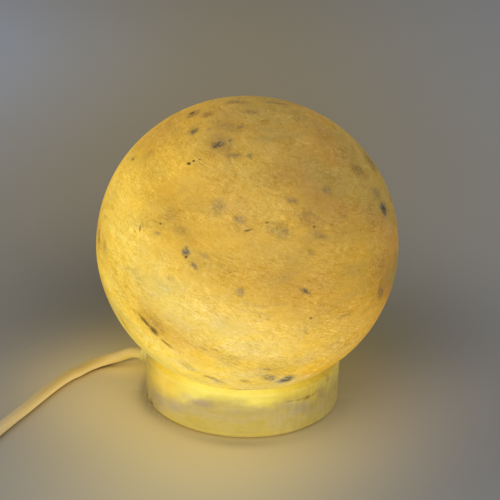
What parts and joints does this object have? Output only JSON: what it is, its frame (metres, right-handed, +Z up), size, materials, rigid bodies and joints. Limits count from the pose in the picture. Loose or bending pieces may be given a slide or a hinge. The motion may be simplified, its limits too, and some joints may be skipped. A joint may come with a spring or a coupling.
{
  "type": "salt lamp",
  "caption": "Round table lamp: a turned salt globe on a dished stone base, lit from inside by a small screw bulb, with a rocker switch and a plug on its cord.",
  "frame": {"origin": "on the surface that the lamp stands on, under the middle of the base", "axes": "+Z up along the globe's axis, -Y towards the front, +X to the right; the cord leaves at the back left"},
  "size_m": [0.3645, 0.1905, 0.1669],
  "materials": {
    "salt": "turned and rubbed matt, lit from inside",
    "base_stone": "turned and rubbed matt",
    "felt": "short beige felt",
    "steel": "zinc-plated steel",
    "brass": "drawn brass",
    "bronze": "spring bronze",
    "nylon": "natural nylon",
    "bakelite": "dark brown moulding",
    "porcelain": "unglazed porcelain",
    "bulb_glass": "clear blown glass",
    "black_glass": "black vitrite",
    "tungsten": "drawn tungsten",
    "cream_pvc": "soft cream sheath",
    "cream_plastic": "cream moulding",
    "brown_core": "brown core insulation",
    "blue_core": "blue core insulation",
    "black_plastic": "black plastic"
  },
  "bodies": {
    "base": {"base_ring": "base_stone", "felt_pad": "felt", "base_plate": "steel", "wall_plugs": "nylon", "plate_screws": "steel", "bracket": "steel", "bracket_rivets": "steel", "threaded_tube": "steel", "tube_nuts": "steel", "lock_washer": "steel", "holder_cap": "bakelite", "holder_core": "porcelain", "holder_sleeve": "bakelite", "screw_shell": "brass", "centre_contact": "bronze", "terminal_blocks": "brass", "terminal_screws": "steel", "grub_screw": "steel", "live_core": "brown_core", "neutral_core": "blue_core", "inner_cord": "cream_pvc", "cord_gland": "cream_pvc", "clamp_block": "nylon", "clamp_saddle": "nylon", "clamp_screws": "steel", "cord_run": "cream_pvc", "switch_bottom": "cream_plastic", "switch_top": "cream_plastic", "switch_contacts": "brass", "switch_wires": "brown_core", "switch_cord_ends": "cream_pvc", "switch_grips": "nylon", "grip_screws": "steel", "case_screws": "steel", "cord_link": "cream_pvc", "cord_coil": "cream_pvc", "coil_tie": "black_plastic", "cord_tail": "cream_pvc", "plug_relief": "cream_pvc", "plug_body": "cream_plastic", "plug_pins": "brass", "pin_sleeves": "black_plastic"},
    "globe": {"globe": "salt"},
    "bulb_foot": {"bulb_insulator": "black_glass", "bulb_tip": "steel"},
    "bulb": {"bulb_cap": "brass", "bulb_glass": "bulb_glass", "bulb_stem": "bulb_glass", "bulb_leads": "steel", "bulb_filament": "tungsten"},
    "rocker": {"rocker": "cream_plastic", "rocker_plunger": "nylon", "plunger_spring": "steel"},
    "seesaw": {"seesaw_contact": "bronze"}
  },
  "joints": [
    {"name": "globe_lift", "type": "slide", "parent": "base", "child": "globe", "axis": [0, 0, 1], "range_m": [0, 0.1]},
    {"name": "bulb_rise", "type": "slide", "parent": "base", "child": "bulb_foot", "axis": [0, 0, 1], "range_m": [0, 0.01129]},
    {"name": "bulb_turn", "type": "hinge", "parent": "bulb_foot", "child": "bulb", "pos_m": [0, 0, 0.0585], "axis": [0, 0, 1], "range_deg": [0, 1440]},
    {"name": "rocker_tilt", "type": "hinge", "parent": "base", "child": "rocker", "pos_m": [-0.199, -0.095, 0.0135], "axis": [0, 1, 0], "range_deg": [0, 16]},
    {"name": "seesaw_tilt", "type": "hinge", "parent": "base", "child": "seesaw", "pos_m": [-0.199, -0.095, 0.0044], "axis": [0, 1, 0], "range_deg": [-12, 0]}
  ],
  "couplings": [
    {"joint": "bulb_rise", "follows": "bulb_turn", "m_per_rad": 0.00044913},
    {"joint": "seesaw_tilt", "follows": "rocker_tilt", "ratio": -0.75}
  ]
}
